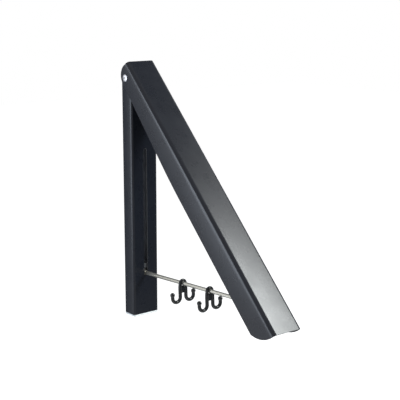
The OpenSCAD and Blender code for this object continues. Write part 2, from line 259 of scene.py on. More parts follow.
def dress(piece, body, material, nodes):
    """Gives a piece its material and its body, and hides the CAD nodes that it stands for."""
    piece.data.materials.clear()
    piece.data.materials.append(material)
    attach(piece, body)
    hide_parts(*nodes)


# Materials

def maths(tree, operation, *values):
    """Result of a sum whose terms are links or numbers."""
    node = tree.nodes.new("ShaderNodeMath")
    node.operation = operation
    for socket, value in zip(node.inputs, values):
        if isinstance(value, float):
            socket.default_value = value
        else:
            tree.links.new(value, socket)
    return node.outputs[0]


def seen(tree):
    """1 for rays of the camera, of reflections and through clear things, 0 for those that only bring light."""
    path = tree.nodes.new("ShaderNodeLightPath")
    total = path.outputs["Is Camera Ray"]
    for kind in ("Is Glossy Ray", "Is Transmission Ray"):
        total = maths(tree, "MAXIMUM", total, path.outputs[kind])
    return total


class Finish:
    """Small builder for one procedural material on Object coordinates."""

    def __init__(self, name):
        self.material = bpy.data.materials.new(name)
        self.material.use_nodes = True
        self.tree = self.material.node_tree
        self.shader = self.tree.nodes["Principled BSDF"]
        self.place = self.add("ShaderNodeTexCoord").outputs["Object"]

    def add(self, kind, **values):
        node = self.tree.nodes.new(kind)
        for key, value in values.items():
            setattr(node, key, value)
        return node

    def link(self, source, target):
        self.tree.links.new(source, target)

    def set(self, **values):
        for key, value in values.items():
            self.shader.inputs[key.replace("_", " ")].default_value = value

    def noise(self, scale, detail=2.0, stretch=None, turn=None):
        """Noise of so many features a metre; stretch lengthens them along axes that turn tilts."""
        node = self.add("ShaderNodeTexNoise")
        node.inputs["Scale"].default_value = scale
        node.inputs["Detail"].default_value = detail
        place = self.place
        if stretch:
            mapping = self.add("ShaderNodeMapping")
            mapping.inputs["Scale"].default_value = stretch
            if turn:
                mapping.inputs["Rotation"].default_value = turn
            self.link(place, mapping.inputs["Vector"])
            place = mapping.outputs["Vector"]
        self.link(place, node.inputs["Vector"])
        return node.outputs["Fac"]

    def spread(self, source, start, end, low=0.0, high=1.0):
        """Stretches what lies between start and end over the range from low to high."""
        node = self.add("ShaderNodeMapRange")
        for name, value in zip(("From Min", "From Max", "To Min", "To Max"), (start, end, low, high)):
            node.inputs[name].default_value = value
        self.link(source, node.inputs["Value"])
        return node.outputs["Result"]

    def vary(self, source, low, high):
        """Roughness that drifts between two values."""
        self.link(self.spread(source, 0.3, 0.7, low, high), self.shader.inputs["Roughness"])

    def blend(self, source, one, two):
        """Base colour that drifts between two colours."""
        mix = self.add("ShaderNodeMix", data_type="RGBA")
        for socket in mix.inputs:
            if socket.type == "RGBA":
                socket.default_value = (*(one if socket.name == "A" else two), 1)
        self.link(self.spread(source, 0.35, 0.65), mix.inputs[0])
        self.link(next(s for s in mix.outputs if s.type == "RGBA"), self.shader.inputs["Base Color"])

    def crowned(self, point, tilt, start, end, lean, half, pillow):
        """Bump for the slight crowns of a pressed channel whose length tilts from upright; returns its normal.

        Between the depths start and end, counted from a point in it, its sides lean in more and more, up to lean.
        Its front falls away from its middle, up to pillow at the half width.
        """
        across = Vector((0, -math.cos(tilt), math.sin(tilt)))
        depth = self.add("ShaderNodeVectorMath", operation="DOT_PRODUCT")
        depth.inputs[1].default_value = across
        self.link(self.place, depth.inputs[0])
        middle = across.dot(point)
        share = self.spread(depth.outputs["Value"], middle + start, middle + end)
        square = maths(self.tree, "POWER", share, 2.0)
        fall = maths(self.tree, "MULTIPLY", square, -0.5 * math.tan(lean) * (end - start) / MM)
        place = self.add("ShaderNodeSeparateXYZ")
        self.link(self.place, place.inputs[0])
        width = maths(self.tree, "MULTIPLY", place.outputs["X"], place.outputs["X"])
        both = maths(self.tree, "MULTIPLY_ADD", width, -0.5 * math.tan(pillow) / half / MM, fall)
        return self.bump(both, MM)

    def bump(self, source, depth, strength=1.0, under=None):
        """Bump of a real depth; returns its normal for a second bump over it."""
        node = self.add("ShaderNodeBump")
        node.inputs["Distance"].default_value = depth
        node.inputs["Strength"].default_value = strength
        self.link(source, node.inputs["Height"])
        if under:
            self.link(under, node.inputs["Normal"])
        self.link(node.outputs["Normal"], self.shader.inputs["Normal"])
        return node.outputs["Normal"]


def shade(colour, factor):
    return tuple(part * factor for part in colour)


def powder_coat(name, colour, roughness, specular, crown=None):
    """Satin powder coat: fine orange peel, a slow drift of tone and gloss, and the crowns of pressed sheet."""
    coat = Finish(name)
    coat.set(Roughness=roughness, Specular_IOR_Level=specular)
    coat.blend(coat.noise(14.0), shade(colour, 0.92), shade(colour, 1.08))
    coat.vary(coat.noise(45.0, 3.0), roughness - 0.02, roughness + 0.02)
    under = coat.crowned(*crown) if crown else None
    fine = coat.bump(coat.noise(2600.0, 1.0), 0.005 * MM, 0.7, under)
    coat.bump(coat.noise(700.0, 2.0), 0.015 * MM, 0.7, fine)
    return coat.material


def chrome_plate(name, colour):
    """Bright plating with faint draw lines along the bar."""
    plate, roughness = Finish(name), 0.14
    plate.set(Metallic=0.8, Roughness=roughness)
    plate.blend(plate.noise(60.0), shade(colour, 0.97), colour)
    lines = plate.noise(900.0, 2.0, stretch=(1.0, 0.02, 1.0), turn=(ROD_RISE, 0, 0))
    plate.vary(lines, roughness * 0.9, roughness * 1.1)
    return plate.material


def zinc_plate(name, colour):
    """Bluish zinc plating with a cloudy grain."""
    plate = Finish(name)
    plate.set(Metallic=1.0, Roughness=0.36)
    grain = plate.noise(380.0, 4.0)
    plate.blend(grain, shade(colour, 0.86), shade(colour, 1.06))
    plate.vary(grain, 0.3, 0.44)
    plate.bump(plate.noise(1600.0, 2.0), 0.004 * MM, 0.4)
    return plate.material


def turned_steel(name, colour):
    """Polished rivet steel with faint turning rings."""
    steel = Finish(name)
    steel.set(Metallic=1.0, Roughness=0.42)
    rings = steel.noise(1500.0, 1.0, stretch=(1.0, 0.15, 0.15))
    steel.blend(rings, shade(colour, 0.95), colour)
    steel.vary(rings, 0.38, 0.46)
    steel.bump(rings, 0.001 * MM, 0.4)
    return steel.material


def dimple_painted_shade(name, colour):
    """Dull, nearly black steel at the bottom of the rivet's dimples, its darkness painted shade for the shadow in
    them.
    """
    steel = Finish(name)
    steel.set(Roughness=0.8, Specular_IOR_Level=0.1)
    steel.blend(steel.noise(2500.0), shade(colour, 0.7), shade(colour, 1.3))
    steel.bump(steel.noise(4000.0), 0.01 * MM, 0.5)
    return steel.material


def moulded_plastic(name, colour, roughness, depth=0.006, subsurface=0.0):
    """Moulded nylon or cap plastic with a fine spark texture."""
    plastic = Finish(name)
    plastic.set(Roughness=roughness, Specular_IOR_Level=0.4)
    if subsurface:
        plastic.set(Subsurface_Weight=subsurface, Subsurface_Radius=(2 * MM, 2 * MM, 2 * MM), Subsurface_Scale=1.0)
    plastic.blend(plastic.noise(50.0), shade(colour, 0.96), shade(colour, 1.03))
    plastic.vary(plastic.noise(220.0, 3.0), roughness - 0.05, roughness + 0.05)
    plastic.bump(plastic.noise(2000.0, 2.0), depth * MM, 0.4)
    return plastic.material


def cast_enamel(name, colour):
    """Glossy enamel over a cast hook: slightly uneven, with a soft skin."""
    enamel = Finish(name)
    enamel.set(Roughness=0.3, Specular_IOR_Level=0.28)
    enamel.blend(enamel.noise(120.0), shade(colour, 0.85), shade(colour, 1.2))
    enamel.vary(enamel.noise(260.0, 3.0), 0.24, 0.36)
    skin = enamel.bump(enamel.noise(420.0, 2.0), 0.03 * MM, 0.5)
    enamel.bump(enamel.noise(2400.0, 1.0), 0.003 * MM, 0.4, skin)
    return enamel.material


# Settings

def length(name, default, description):
    return FloatProperty(name=name, default=default, description=description, unit="LENGTH", precision=5, min=0.0)


def colour_of(name, default, description):
    return FloatVectorProperty(name=name, default=default, description=description, subtype="COLOR", min=0.0,
                               max=1.0)


def amount(name, default, description, top=1.0):
    return FloatProperty(name=name, default=default, description=description, subtype="FACTOR", min=0.0, max=top)


def angle_of(name, default, description):
    return FloatProperty(name=name, default=math.radians(default), description=description, subtype="ANGLE")


def place_of(name, turn, rise, thing):
    angles = (math.radians(turn), math.radians(rise))
    return FloatVectorProperty(name=name, default=angles, size=2, unit="ROTATION",
                               description="Turn round the object, from straight in front, and rise of " + thing)


def power(name, default, description):
    return FloatProperty(name=name, default=default, description=description, unit="POWER", min=0.0)


class ValetSheetSettings(bpy.types.PropertyGroup):
    """Sizes of the two folded channels."""
    sheet: length("Sheet", 1.5 * MM, "Thickness of the sheet of both channels")
    edge: length("Edge rounding", 0.3 * MM, "Rounding that the coat gives to the sheet's cut edges")
    base_bend: length("Base bend", 3.0 * MM, "Outer radius of the base's two bends")
    lip: length("Lip", 4.0 * MM, "Width of the lips folded in along the base's back, at the brackets")
    mouth: length("Mouth", 9.7 * MM, "Half width of the gap between the wide middle stretch of the lips")
    mouth_reach: length("Mouth reach", 110.0 * MM, "Height of that stretch's ends above and below the middle")
    slot_width: length("Slot width", 6.4 * MM, "Width of the slot in the base's front")
    slot_drop: length("Slot top", 100.0 * MM, "Depth of the slot's top end below the base's upper edge")
    slot_seat: length("Slot seat", 0.5 * MM, "Gap between the open rod and the slot's lower end")
    access: length("Access hole", 5.0 * MM, "Radius of the screwdriver's hole in the base's front")
    pin_hole: length("Pin hole", 3.06 * MM, "Radius of the hinge holes")
    arm_bend: length("Arm bend", 5.0 * MM, "Outer radius of the arm's two bends")
    base_ease: length("Base ease", 4.0 * MM, "Length over which the base's sides ease into the bends")
    arm_ease: length("Arm ease", 5.0 * MM, "Length over which the arm's sides ease into the bends")
    base_crown: length("Base crown depth", 16.0 * MM, "Depth over which the base's sides lean in towards the front")
    arm_crown: length("Arm crown depth", 32.0 * MM, "Depth over which the arm's sides lean in towards the front")
    arm_front: length("Arm front", 17.6 * MM, "Depth of the arm in front of the pin")
    arm_back: length("Arm back", 17.8 * MM, "Depth of the arm's sides behind the pin's line")
    arm_top: length("Arm top", 12.6 * MM, "Reach of the arm's front wall above the pin")
    arm_length: length("Arm length", 397.0 * MM, "Length of the arm below the pin")
    lobe: length("Lobe", 16.0 * MM, "Radius of the rounded top of each side")
    lobe_drop: length("Lobe drop", 2.5 * MM, "Place of the lobe's centre below the pin, along the arm")
    lobe_forward: length("Lobe forward", 7.0 * MM, "Place of the lobe's centre in front of the pin")
    shoulder: length("Shoulder", 130.0 * MM, "Place where the sloping back edge turns straight")
    end_round: length("End round", 40.0 * MM, "Radius of the round at the arm's lower end")


class ValetRodSettings(bpy.types.PropertyGroup):
    """Sizes of the hanging rod, its pivots and the hinge rivet."""
    diameter: length("Rod", 5.0 * MM, "Diameter of the hanging rod")
    eye: length("Eye", 4.2 * MM, "Radius of the rod's flattened ends")
    eye_sheet: length("Eye thickness", 3.2 * MM, "Thickness of the rod's flattened ends")
    eye_hole: length("Eye hole", 2.06 * MM, "Radius of the holes in the flattened ends")
    rivet: length("Rivet", 3.0 * MM, "Radius of the hinge rivet")
    rivet_head: length("Rivet head", 4.5 * MM, "Radius of the rivet's heads")
    head_height: length("Head height", 1.2 * MM, "Height of the rivet's heads")
    dimple: length("Dimple", 1.5 * MM, "Radius of the dimple in each head")
    dimple_depth: length("Dimple depth", 1.1 * MM, "Depth of the dimple")
    play: length("Play", 0.05 * MM, "Side clearance under each head")


class ValetHookSettings(bpy.types.PropertyGroup):
    """Sizes of the two double hooks."""
    near: length("Inner hook", 90.0 * MM, "Distance of the inner hook from the rod's wall end")
    far: length("Outer hook", 145.0 * MM, "Distance of the outer hook from the rod's wall end")
    bar: length("Bar", 4.7 * MM, "Diameter of a hook's bars")
    arch: length("Arch bar", 3.5 * MM, "Diameter of the bar where it passes over the rod")
    eye_play: length("Eye play", 0.35 * MM, "Play round the rod at each side of the eye")
    hang: length("Hang", 0.3 * MM, "How far the hook hangs below the rod's middle")
    bend: length("J radius", 6.2 * MM, "Radius of each J along the middle of its bar")
    drop: length("J drop", 23.7 * MM, "Depth of the J's lowest bar middle")
    tip: length("Tip drop", 13.1 * MM, "Depth of the tips under the rod's middle")
    ball: length("Ball", 3.1 * MM, "Radius of the balls on the tips")
    web: length("Web", 2.8 * MM, "Thickness of the web between the shanks")
    web_low: length("Web depth", 12.3 * MM, "Depth of the web's lower end")
    voxel: length("Cast detail", 0.22 * MM, "Size of the detail that the casting keeps")
    sides: IntProperty(name="Sides", default=40, min=8, max=96, description="Sides of the hook's bars")
    smooth: IntProperty(name="Smoothing", default=10, min=0, max=60, description="How far the joints run together")


class ValetFinishSettings(bpy.types.PropertyGroup):
    """Colours and gloss of every finish."""
    # The base's coat is the arm's paint made darker: the difference is painted shade for the dimmer light on the base
    base: colour_of("Base coat", (0.0062, 0.0078, 0.0122), "Powder coat of the base")
    arm: colour_of("Arm coat", (0.0078, 0.0092, 0.0136), "Powder coat of the arm")
    # The thin coat's light grey is partly a thin inner coat and partly painted light for the inside of the base that
    # the slot shows
    inside: colour_of("Thin coat", (0.19, 0.20, 0.22), "Thin grey coat on the base's inner faces")
    gloss: amount("Coat roughness", 0.28, "Roughness of the powder coat")
    specular: amount("Coat reflection", 0.22, "Strength of the powder coat's reflection")
    base_lean: angle_of("Base crown", 4.5, "Lean of the base's sides where they meet the bends")
    arm_lean: angle_of("Arm crown", 3.5, "Lean of the arm's sides where they meet the bends")
    base_pillow: angle_of("Base front crown", 0.3, "Lean of the base's front where it meets the bends")
    arm_pillow: angle_of("Arm front crown", 1.6, "Lean of the arm's front where it meets the bends")
    hook: colour_of("Hook enamel", (0.006, 0.007, 0.008), "Enamel of the hooks")
    rod: colour_of("Rod plating", (0.50, 0.49, 0.44), "Chrome plating of the rod")
    rivet: colour_of("Rivet steel", (0.44, 0.44, 0.455), "Polished steel of the rivet and the pivot pin")
    # The dimple colour is painted shade for the shadow that falls in the rivet's dimples
    dimple: colour_of("Dimple", (0.03, 0.03, 0.032), "Blackened steel in the rivet's dimples")
    zinc: colour_of("Zinc", (0.56, 0.58, 0.61), "Zinc plating of the brackets, the sleeve and the cross pin")
    nylon: colour_of("Nylon", (0.74, 0.74, 0.70), "Natural nylon of the washers and spacers")
    slider: colour_of("Slider", (0.028, 0.03, 0.034), "Black nylon of the slider")
    # The tracks' dark tone is partly their nylon's colour and partly painted shade for the inside of the base seen
    # through the slot
    track: colour_of("Tracks", (0.095, 0.1, 0.11), "Dark nylon of the slider's tracks")
    cap: colour_of("Cap", (0.60, 0.63, 0.645), "Milky plastic of the bottom cap")


class ValetStageSettings(bpy.types.PropertyGroup):
    """Lamps, flags, surroundings and camera."""
    key: power("Key lamp", 33.5, "Power of the square lamp on the right")
    key_tint: colour_of("Key colour", (0.96, 1.0, 0.99), "Colour of the key lamp's light")
    key_place: place_of("Key place", 54.0, 46.0, "the key lamp")
    skirt: power("Skirt lamp", 1.8, "Power of the dim lamp beside the key lamp, which softens its highlight's edge")
    skirt_place: place_of("Skirt place", 67.0, 45.5, "the skirt lamp")
    strip: power("Strip lamp", 21.5, "Power of the upright strip lamp on the left")
    strip_tint: colour_of("Strip colour", (0.80, 0.88, 1.0), "Colour of the strip lamp's light")
    strip_place: place_of("Strip place", -119.0, 2.5, "the strip lamp")
    flag: colour_of("Flag", (0.05, 0.06, 0.08), "Cloth of the dark flags")
    low_flag: colour_of("Low flag", (0.25, 0.25, 0.24), "Grey cloth of the low flag")
    front_place: place_of("Front flag place", 36.0, -12.0, "the flag that the base's front reflects")
    side_place: place_of("Side flag place", -153.0, -12.0, "the flag that the base's left side reflects")
    top_place: place_of("Top flag place", 88.0, 57.5, "the flag that the arm's upper end reflects")
    right_place: place_of("Right flag place", 116.0, 8.0, "the flag that the arm's right bend reflects")
    low_place: place_of("Low flag place", 178.0, -38.0, "the flag that the rod's underside reflects")
    back_place: place_of("Back flag place", 160.0, 26.0, "the flag that the rod's upper side reflects")
    ambient: amount("Surroundings", 0.5, "Strength of the white surroundings on the object", top=2.0)
    floor_drop: length("Floor", 0.75, "Depth of the floor under the wall screws' middle")
    floor_size: length("Floor size", 14.0, "Side of the square floor")
    floor_lift: amount("Floor white", 0.56, "Share of the floor's white that does not come from the lamps")
    camera_place: place_of("Camera place", -38.75, 11.91, "the camera")
    camera_away: length("Camera distance", 1.3193, "Distance of the camera from the point it is set round")
    lens: FloatProperty(name="Lens", default=91.07, min=10.0, description="Focal length on a 36 mm wide picture")


SETTINGS = {"valet_sheet": ValetSheetSettings, "valet_rod": ValetRodSettings, "valet_hook": ValetHookSettings,
            "valet_finish": ValetFinishSettings, "valet_stage": ValetStageSettings}


def on_rod(along=0.0):
    """Matrix that places a thing, drawn with the rod along -Y from its wall end, on the rod."""
    return Matrix.Translation(ROD_INNER) @ Matrix.Rotation(-ROD_RISE, 4, "X") @ Matrix.Translation((0, -along, 0))


def towards(turn, rise):
    """Direction from the object at a turn round it, from straight in front, and a height angle."""
    return Vector((math.sin(turn) * math.cos(rise), -math.cos(turn) * math.cos(rise), math.sin(rise)))


# Operators, one for each piece or group of like pieces

def settings_of(context, *nodes):
    """The scene with the settings; an operator whose CAD nodes are missing stops here."""
    missing = [node for node in nodes if node not in frame["nodes"]]
    if missing:
        raise RuntimeError("the packed frame lacks " + ", ".join(missing))
    return context.scene


class VALET_OT_base(bpy.types.Operator):
    """Make the base channel: bends, back lips, top plate, slot, access hole and hinge holes"""
    bl_idname = "valet.base"
    bl_label = "Base channel"
    bl_options = {"REGISTER", "UNDO"}

    def execute(self, context):
        scene = settings_of(context, "base_shell")
        size, look = scene.valet_sheet, scene.valet_finish
        half, low, high = BASE_HIGH.x, BASE_LOW.z, BASE_HIGH.z
        inside, front = half - size.sheet, BASE_LOW.y + size.sheet
        body = prism("base_channel", channel(half, BASE_LOW.y, 0.0, size.base_bend, size.base_ease), "Z", low, high)
        inner = channel(inside, front, -size.sheet, size.base_bend - size.sheet)
        wide, narrow, reach = inside - size.lip, size.mouth, size.mouth_reach
        hollow = [(-narrow, OVERRUN), (-narrow, -size.sheet)] + inner + [(narrow, -size.sheet), (narrow, OVERRUN)]
        mouth = oblong((-wide, -size.sheet - size.edge), (wide, OVERRUN))
        rod_at_front = ROD_INNER.z + (front - ROD_INNER.y) * -math.tan(ROD_RISE)
        slot_low = rod_at_front - scene.valet_rod.diameter / 2 / math.cos(ROD_RISE) - size.slot_seat
        r = size.slot_width / 2
        slot = arc((0, high - size.slot_drop - r), r, 0, 180, 24) + arc((0, slot_low + r), r, 180, 360, 24)
        cut(body, [
            prism("hollow", hollow, "Z", low - OVERRUN, high - size.sheet),
            prism("mouth", mouth, "Z", low - OVERRUN, -reach),
            prism("mouth", mouth, "Z", reach, high - size.sheet),
            prism("slot", slot, "Y", BASE_LOW.y - OVERRUN, front + OVERRUN),
            prism("access", disc((0, SCREW_HEIGHT), size.access), "Y", BASE_LOW.y - OVERRUN, front + OVERRUN),
            prism("pin_hole", disc((PIN.y, PIN.z), size.pin_hole), "X", -half - OVERRUN, half + OVERRUN)])
        soften(body, size.edge)
        crown = (Vector((0, BASE_LOW.y, 0)), 0.0, -size.base_crown, 0.0, look.base_lean, half, look.base_pillow)
        coat = powder_coat("charcoal_coat_base_painted_shade", look.base, look.gloss, look.specular * BASE_SHEEN, crown)
        dress(body, "base", coat, ["base_shell"])
        # Inner faces get the thin coat, whose grey is partly painted light; the slot's cut edges get a copy at half
        # its tone
        for name, colour in (("inside_coat_and_painted_light", look.inside), ("slot_edge_painted_light", shade(look.inside, 0.5))):
            body.data.materials.append(powder_coat(name, colour, THIN_COAT_ROUGHNESS, look.specular))
        for face in body.data.polygons:
            x, y, z = face.center
            hidden = abs(x) < inside + size.edge / 2 and front - size.edge / 2 < y < -size.sheet + size.edge / 2
            at_slot = abs(x) < r + size.edge / 4 and y < front and low < z < high - size.slot_drop
            if hidden and z < high - size.sheet + size.edge / 2:
                face.material_index = 1
            # The slot's cut edges get a grey far lighter than the outer coat: painted light on those edges
            elif at_slot and abs(face.normal.y) < 0.3:
                face.material_index = 2
        return {"FINISHED"}


class VALET_OT_arm(bpy.types.Operator):
    """Make the arm channel: two bends, round lobes at the hinge and the round lower end"""
    bl_idname = "valet.arm"
    bl_label = "Arm channel"
    bl_options = {"REGISTER", "UNDO"}

    def outline(self, size):
        """One side seen from the side, as (y, z) with the pin at the origin; the front runs past the bends."""
        closed = ARM_CLOSED
        centre = (-size.lobe_forward, -size.lobe_drop)
        top_half = math.degrees(math.asin((size.arm_top + size.lobe_drop) / size.lobe))
        points = [(-size.arm_front - OVERRUN, size.arm_top)]
        points += arc(centre, size.lobe, 180 - top_half, math.degrees(closed), 40)
        back_y, back_z = points[-1]
        shoulder_y = back_y + (size.shoulder + back_z) * math.tan(closed)
        radius = (size.arm_back - shoulder_y) / (1 - math.cos(closed))
        straight_z = -(size.shoulder + radius * math.sin(closed))
        turns = [closed * (1 - i / 6) for i in range(7)]
        points += [(size.arm_back - radius * (1 - math.cos(a)), straight_z + radius * math.sin(a)) for a in turns]
        end = (-size.arm_front, -size.arm_length + size.end_round)
        corner = math.degrees(math.acos((size.arm_back + size.arm_front) / size.end_round))
        points += arc(end, size.end_round, -corner, -90, 40)
        points.append((-size.arm_front - OVERRUN, -size.arm_length))
        return points

    def execute(self, context):
        scene = settings_of(context, "arm_shell")
        size, look = scene.valet_sheet, scene.valet_finish
        half = ARM_HIGH.x
        back, far = size.lobe + size.arm_back, size.arm_length + OVERRUN
        body = prism("arm_channel", channel(half, -size.arm_front, back, size.arm_bend, size.arm_ease), "Z", -far,
                     size.lobe + OVERRUN)
        hollow = channel(half - size.sheet, -size.arm_front + size.sheet, back + OVERRUN, size.arm_bend - size.sheet)
        cut(body, [prism("hollow", hollow, "Z", -far - OVERRUN, size.lobe + 2 * OVERRUN)])
        cut(body, [prism("sides", self.outline(size), "X", -half - OVERRUN, half + OVERRUN)], "INTERSECT")
        cut(body, [prism("pin_hole", disc((0, 0), size.pin_hole), "X", -half - OVERRUN, half + OVERRUN)])
        soften(body, size.edge)
        body.data.transform(Matrix.Translation(PIN) @ Matrix.Rotation(-ARM_OPEN, 4, "X"))
        crown = (PIN, ARM_OPEN, size.arm_front - size.arm_crown, size.arm_front, look.arm_lean, half, look.arm_pillow)
        coat = powder_coat("charcoal_coat_arm", look.arm, look.gloss, look.specular, crown)
        dress(body, "arm", coat, ["arm_shell"])
        return {"FINISHED"}


class VALET_OT_rivet(bpy.types.Operator):
    """Make the hinge rivet with a low dome and a dimple at each end"""
    bl_idname = "valet.rivet"
    bl_label = "Hinge rivet"
    bl_options = {"REGISTER", "UNDO"}

    def execute(self, context):
        scene = settings_of(context, "hinge_rivet")
        size = scene.valet_rod
        under = ARM_HIGH.x + size.play
        dome = (size.rivet_head ** 2 + size.head_height ** 2) / (2 * size.head_height)
        centre = under + size.head_height - dome
        half = [(under - 0.02 * MM, size.rivet), (under, size.rivet), (under, size.rivet_head - 0.25 * MM),
                (under + 0.1 * MM, size.rivet_head)]
        rim = size.dimple + 0.2 * MM
        for i in range(1, DOME_STEPS + 1):
            radius = size.rivet_head + (rim - size.rivet_head) * i / DOME_STEPS
            half.append((centre + math.sqrt(dome ** 2 - radius ** 2), radius))
        bottom = under + size.head_height - size.dimple_depth
        half += [(half[-1][0] - 0.12 * MM, size.dimple), (bottom + 0.3 * MM, size.dimple * 0.92),
                 (bottom + 0.06 * MM, size.dimple * 0.6), (bottom, 0.0)]
        body = lathe("hinge_rivet_body", [(-x, radius) for x, radius in reversed(half)] + half)
        body.data.shade_smooth()
        body.data.set_sharp_from_angle(angle=math.radians(40))
        body.data.transform(Matrix.Translation(PIN))
        look = scene.valet_finish
        dress(body, "base", turned_steel("rivet_steel_bright", look.rivet), ["hinge_rivet"])
        # The floors of the dimples get painted shade
        body.data.materials.append(dimple_painted_shade("rivet_dimple_painted_shade", look.dimple))
        for face in body.data.polygons:
            corners = [body.data.vertices[i].co for i in face.vertices]
            reach = max(math.hypot(v.y - PIN.y, v.z - PIN.z) for v in corners)
            at_end = min(abs(v.x) for v in corners) > ARM_HIGH.x
            face.material_index = 1 if at_end and reach < size.dimple + 0.1 * MM else 0
        return {"FINISHED"}


class VALET_OT_rod(bpy.types.Operator):
    """Make the chrome hanging rod with its flattened, drilled ends"""
    bl_idname = "valet.rod"
    bl_label = "Hanging rod"
    bl_options = {"REGISTER", "UNDO"}

    def execute(self, context):
        scene = settings_of(context, "hanger_rod")
        size = scene.valet_rod
        radius, flat = size.diameter / 2, size.eye_sheet / 2
        ends = [size.eye, 3 * size.eye, ROD_LENGTH - 3 * size.eye, ROD_LENGTH - size.eye]
        profile = [(ends[0], 0.0)] + [(x, radius) for x in ends] + [(ends[-1], 0.0)]
        bar = lathe("hanging_rod", profile, 72)
        bar.data.transform(Matrix.Rotation(-math.pi / 2, 4, "Z"))
        tongue = oblong((-flat, -radius), (flat, radius))
        cut(bar, [prism("tongue", tongue, "Y", -2 * size.eye, 0),
                  prism("tongue", tongue, "Y", -ROD_LENGTH, -ROD_LENGTH + 2 * size.eye)], "UNION")
        for y in (0, -ROD_LENGTH):
            cut(bar, [prism("eye", disc((y, 0), size.eye), "X", -flat, flat)], "UNION")
            cut(bar, [prism("eye_hole", disc((y, 0), size.eye_hole), "X", -radius - OVERRUN, radius + OVERRUN)])
        soften(bar, 0.25 * MM)
        bar.data.transform(on_rod())
        dress(bar, "rod", chrome_plate("rod_chrome_plate", scene.valet_finish.rod), ["hanger_rod"])
        return {"FINISHED"}


def hook_tree():
    """Geometry nodes that sweep a hook's bar along its path and put a ball on each end."""
    tree = bpy.data.node_groups.new("Cast hook", "GeometryNodeTree")
    for name, side, kind in (("Path", "INPUT", "Geometry"), ("Sides", "INPUT", "Int"),
                             ("Ball radius", "INPUT", "Float"), ("Finish", "INPUT", "Material"),
                             ("Hook", "OUTPUT", "Geometry")):
        tree.interface.new_socket(name, in_out=side, socket_type="NodeSocket" + kind)
    given, out, radius, ring, sweep, ball, ends, spread, union, real, finish = [tree.nodes.new(kind) for kind in (
        "NodeGroupInput", "NodeGroupOutput", "GeometryNodeInputRadius", "GeometryNodeCurvePrimitiveCircle",
        "GeometryNodeCurveToMesh", "GeometryNodeMeshIcoSphere", "GeometryNodeCurveEndpointSelection",
        "GeometryNodeInstanceOnPoints", "GeometryNodeJoinGeometry", "GeometryNodeRealizeInstances",
        "GeometryNodeSetMaterial")]
    ring.inputs["Radius"].default_value = 1.0
    sweep.inputs["Fill Caps"].default_value = True
    ball.inputs["Subdivisions"].default_value = 4
    for source, result, target, value in (
            (given, "Sides", ring, "Resolution"), (given, "Path", sweep, "Curve"),
            (ring, "Curve", sweep, "Profile Curve"), (radius, "Radius", sweep, "Scale"),
            (given, "Ball radius", ball, "Radius"), (given, "Path", spread, "Points"),
            (ends, "Selection", spread, "Selection"), (ball, "Mesh", spread, "Instance"),
            (spread, "Instances", union, "Geometry"), (sweep, "Mesh", union, "Geometry"),
            (union, "Geometry", real, "Geometry"), (real, "Geometry", finish, "Geometry"),
            (given, "Finish", finish, "Material"), (finish, "Geometry", out, "Hook")):
        tree.links.new(source.outputs[result], target.inputs[value])
    return tree


class VALET_OT_hooks(bpy.types.Operator):
    """Make the two cast double hooks, each one bar bent over the rod with a J and a ball at both ends"""
    bl_idname = "valet.hooks"
    bl_label = "Double hooks"
    bl_options = {"REGISTER", "UNDO"}

    def path(self, size, eye):
        """Points (x, z, radius) of the bar's middle from one tip over the eye to the other."""
        thick, thin = size.bar / 2, size.arch / 2
        arch = eye + thin
        bend_x, bend_z = arch + size.bend, -(size.drop - size.bend)
        half = [(x, z - size.hang, thin) for x, z in arc((0, 0), arch, 90, 0, 16)]
        for i in range(1, SHANK_STEPS):
            share = i / SHANK_STEPS
            half.append((arch, -size.hang + (bend_z + size.hang) * share, thin + (thick - thin) * min(1, share * 4)))
        half += [(x, z, thick) for x, z in arc((bend_x, bend_z), size.bend, 180, 360, 36)]
        half += [(bend_x + size.bend, bend_z + (-size.tip - bend_z) * share, thick) for share in (0.5, 1.0)]
        return [(-x, z, r) for x, z, r in reversed(half[1:])] + half

    def execute(self, context):
        scene = settings_of(context, "hook_inner", "hook_outer")
        size, look = scene.valet_hook, scene.valet_finish
        eye = scene.valet_rod.diameter / 2 + size.eye_play
        tree, enamel = hook_tree(), cast_enamel("hook_black_enamel", look.hook)
        points, arch = self.path(size, eye), eye + size.arch / 2
        for name, along, body, node in (("inner_double_hook", size.near, "inner_hook", "hook_inner"),
                                        ("outer_double_hook", size.far, "outer_hook", "hook_outer")):
            curve = bpy.data.curves.new(name + "_path", "CURVE")
            curve.dimensions = "3D"
            spline = curve.splines.new("POLY")
            spline.points.add(len(points) - 1)
            for point, (x, z, radius) in zip(spline.points, points):
                point.co, point.radius = (x, 0, z, 1), radius
            line = linked(name + "_path", curve)
            step = line.modifiers.new("Cast hook", "NODES")
            step.node_group = tree
            sockets = {item.name: item.identifier for item in tree.interface.items_tree
                       if item.item_type == "SOCKET"}
            step[sockets["Sides"]], step[sockets["Ball radius"]] = size.sides, size.ball
            step[sockets["Finish"]] = enamel
            hook = linked(name, final_mesh(line))
            bpy.data.objects.remove(line)
            web = prism("web", oblong((-arch, -size.web_low), (arch, 0)), "Y", -size.web / 2, size.web / 2)
            cut(web, [prism("eye", disc((0, -size.hang), eye), "Y", -size.web, size.web)])
            join(hook, web)
            cast = hook.modifiers.new("Casting", "REMESH")
            cast.mode, cast.voxel_size = "VOXEL", size.voxel
            soft = hook.modifiers.new("Run together", "SMOOTH")
            soft.factor, soft.iterations = 0.5, size.smooth
            bake(hook)
            hook.data.shade_smooth()
            hook.data.transform(on_rod(along))
            dress(hook, body, enamel, [node])
        return {"FINISHED"}


